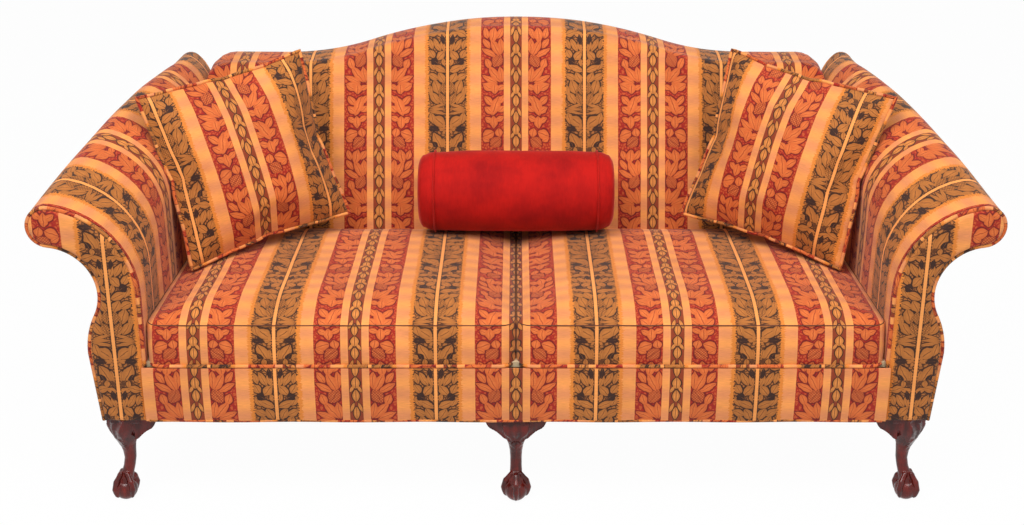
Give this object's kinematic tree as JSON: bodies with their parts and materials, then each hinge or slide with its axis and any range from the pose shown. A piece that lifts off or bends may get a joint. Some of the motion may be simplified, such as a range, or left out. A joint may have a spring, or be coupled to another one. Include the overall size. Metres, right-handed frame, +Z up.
{
  "type": "camelback sofa",
  "caption": "Camelback sofa with rolled arms, loose seat cushions, cabriole legs with ball-and-claw feet, throw pillows and a bolster.",
  "frame": {"origin": "on the floor, under the centre of the whole sofa's box", "axes": "+X to the right of someone who faces the sofa, -Y out of its front, +Z up"},
  "size_m": [2.024, 0.8681, 0.9065],
  "materials": {
    "damask": "woven damask in wide stripes",
    "velvet": "cut pile velvet",
    "mahogany": "dark polished mahogany",
    "frame_wood": "planed hardwood",
    "filling": "soft filling in a plain lining",
    "spring_steel": "spring wire",
    "burlap": "coarse plain weave",
    "deck_cloth": "plain decking cloth over a pad",
    "dust_cloth": "thin black cloth"
  },
  "bodies": {
    "frame": {"arm_front_panel_left": "damask", "arm_front_panel_right": "damask", "arm_panel_welt_left": "damask", "arm_panel_welt_right": "damask", "arm_post_left": "frame_wood", "arm_post_right": "frame_wood", "arm_rear_post_left": "frame_wood", "arm_rear_post_right": "frame_wood", "arm_tack_rail_left": "frame_wood", "arm_tack_rail_right": "frame_wood", "arm_top_rail_left": "frame_wood", "arm_top_rail_right": "frame_wood", "back_post_left": "frame_wood", "back_post_right": "frame_wood", "back_slats": "frame_wood", "back_tack_rail": "frame_wood", "back_top_rail": "frame_wood", "back_webbing": "burlap", "corner_blocks": "frame_wood", "deck_pad": "deck_cloth", "dust_cover": "dust_cloth", "front_border": "damask", "front_border_welt": "damask", "front_leg_centre": "mahogany", "front_leg_left": "mahogany", "front_leg_right": "mahogany", "front_rail": "frame_wood", "inside_arm_left": "damask", "inside_arm_right": "damask", "inside_back": "damask", "knee_brackets": "mahogany", "leg_dowels": "frame_wood", "outside_arm_left": "damask", "outside_arm_right": "damask", "outside_back": "damask", "rear_leg_left": "mahogany", "rear_leg_right": "mahogany", "rear_rail": "frame_wood", "seat_burlap": "burlap", "seat_springs": "spring_steel", "seat_stretcher_left": "frame_wood", "seat_stretcher_right": "frame_wood", "side_rail_left": "frame_wood", "side_rail_right": "frame_wood"},
    "seat_cushion_left": {"seat_cushion_core_left": "filling", "seat_cushion_cover_left": "damask"},
    "seat_cushion_right": {"seat_cushion_core_right": "filling", "seat_cushion_cover_right": "damask"},
    "pillow_left": {"pillow_cover_left": "damask", "pillow_fill_left": "filling"},
    "pillow_right": {"pillow_cover_right": "damask", "pillow_fill_right": "filling"},
    "bolster": {"bolster_cover": "velvet", "bolster_fill": "filling"}
  },
  "joints": [
    {"name": "seat_cushion_left_pull", "type": "slide", "parent": "frame", "child": "seat_cushion_left", "axis": [0, -1, 0], "range_m": [0, 0.6]},
    {"name": "seat_cushion_right_pull", "type": "slide", "parent": "frame", "child": "seat_cushion_right", "axis": [0, -1, 0], "range_m": [0, 0.6]},
    {"name": "pillow_left_lift", "type": "slide", "parent": "frame", "child": "pillow_left", "axis": [0, 0, 1], "range_m": [0, 0.3]},
    {"name": "pillow_right_lift", "type": "slide", "parent": "frame", "child": "pillow_right", "axis": [0, 0, 1], "range_m": [0, 0.3]},
    {"name": "bolster_lift", "type": "slide", "parent": "frame", "child": "bolster", "axis": [0, 0, 1], "range_m": [0, 0.3]}
  ]
}
